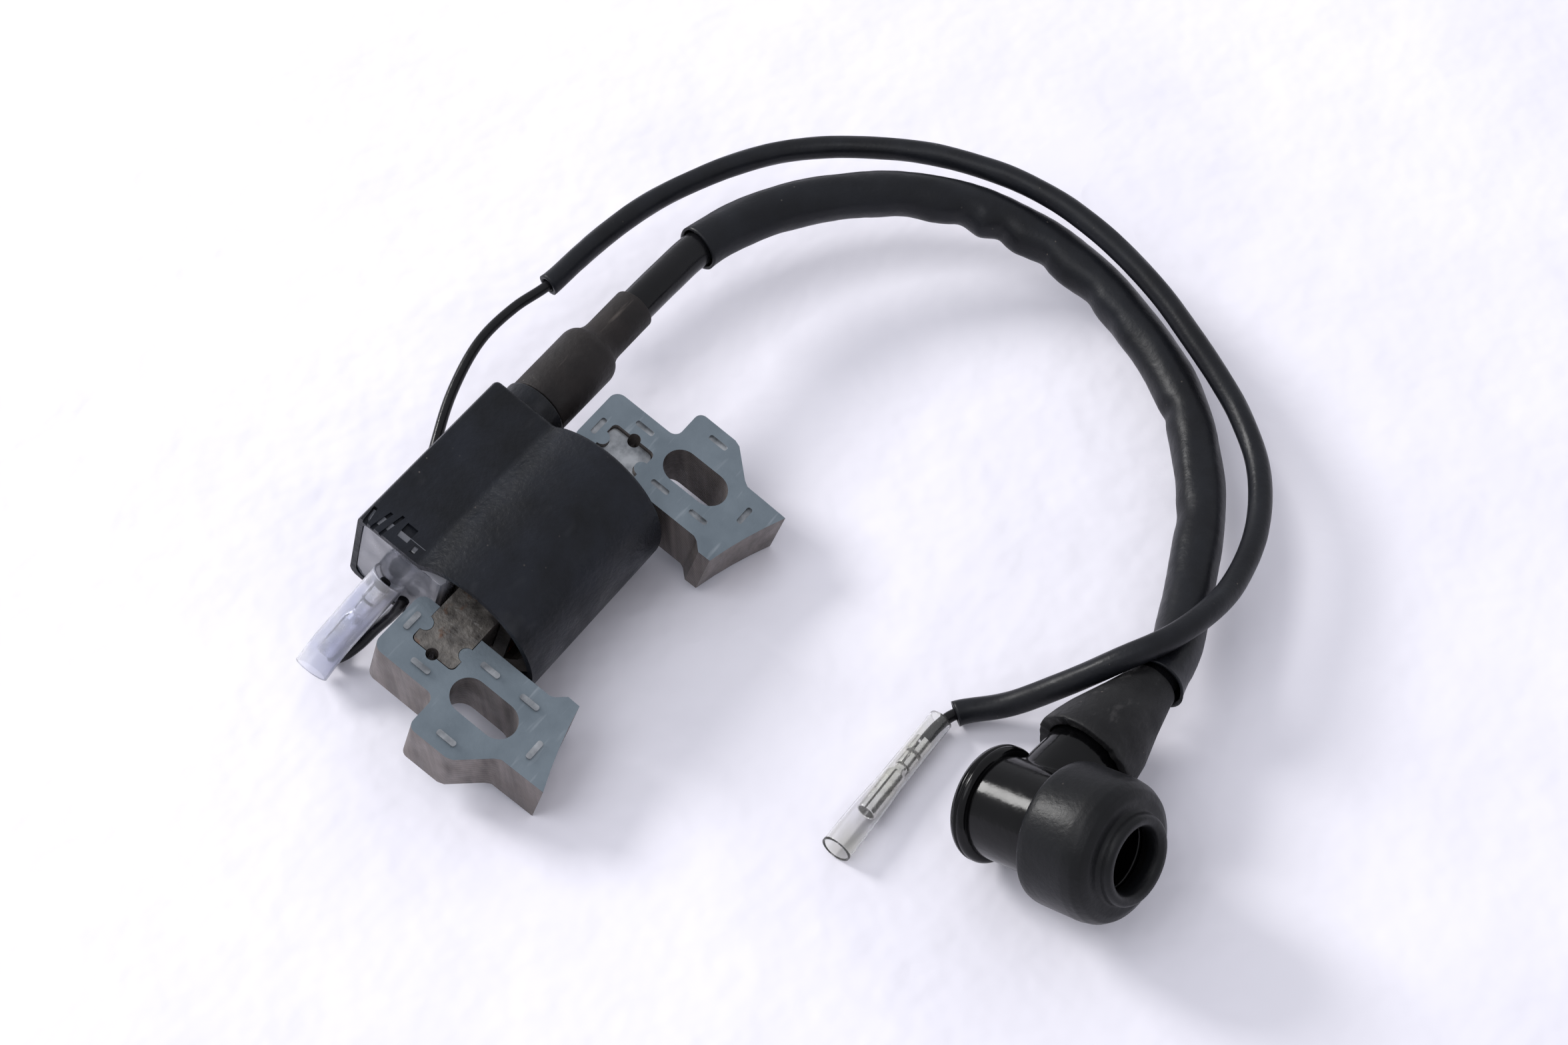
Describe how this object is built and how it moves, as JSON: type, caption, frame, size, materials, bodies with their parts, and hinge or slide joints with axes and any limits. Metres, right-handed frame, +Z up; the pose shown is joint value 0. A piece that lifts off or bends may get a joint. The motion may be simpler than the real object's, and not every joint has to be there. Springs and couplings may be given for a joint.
{
  "type": "ignition coil",
  "caption": "Flywheel ignition coil: laminated U core, round potted coil case, booted high-tension lead with a right-angle plug cap, and a sleeved stop wire with a crimped receptacle.",
  "frame": {"origin": "on the bench plane, under the middle of the coil's body box, leaving out the free cords and what is on them", "axes": "+X along the core bar from the potted end towards the high-tension outlet, +Y away from the flywheel side towards the electronics box, +Z up from the bench; the coil lies tilted 19.1 degrees about X on its round case and its two pole tips"},
  "size_m": [0.1655, 0.1681, 0.0334],
  "materials": {
    "case_plastic": "satin, dusty",
    "potting_resin": "glossy, cast",
    "board_laminate": "satin",
    "bobbin_plastic": "matte",
    "enamelled_copper": "enamelled",
    "core_steel": "satin, blue-grey phosphate",
    "boot_rubber": "matte, dusty",
    "brass": "turned",
    "wire_insulation": "glossy",
    "tinned_brass": "bright tin",
    "clear_vinyl": "clear, soft",
    "sleeving_vinyl": "satin",
    "bakelite": "glossy, moulded",
    "ceramic": "glazed",
    "spring_steel": "bright"
  },
  "bodies": {
    "coil": {"coil_case": "case_plastic", "potting_resin": "potting_resin", "control_board": "board_laminate", "power_transistor": "case_plastic", "primary_bobbin": "bobbin_plastic", "primary_winding": "enamelled_copper", "secondary_bobbin": "bobbin_plastic", "secondary_winding": "enamelled_copper", "core_bar": "core_steel", "near_pole_leg": "core_steel", "far_pole_leg": "core_steel", "ht_boot": "boot_rubber", "ht_contact_pin": "brass", "stop_terminal_stub": "wire_insulation", "stop_receptacle": "tinned_brass", "stop_receptacle_sleeve": "clear_vinyl", "ht_lead": "wire_insulation", "ht_lead_sleeving": "sleeving_vinyl", "stop_wire": "wire_insulation", "stop_wire_sleeving": "sleeving_vinyl", "wire_receptacle": "tinned_brass", "wire_receptacle_sleeve": "clear_vinyl"},
    "plug_cap": {"cap_elbow": "bakelite", "cap_rear_plug": "bakelite", "cap_plug_seal": "boot_rubber", "cap_lead_boot": "boot_rubber", "cap_lead_screw": "brass", "cap_resistor": "ceramic", "cap_terminal_clip": "brass", "cap_contact_spring": "spring_steel"}
  },
  "joints": [
    {"name": "cap_swivel", "type": "hinge", "parent": "coil", "child": "plug_cap", "pos_m": [0.0004, -0.0983, 0.0127], "axis": [0.9952, -0.0871, -0.0454], "range_deg": [-90, 15]}
  ]
}
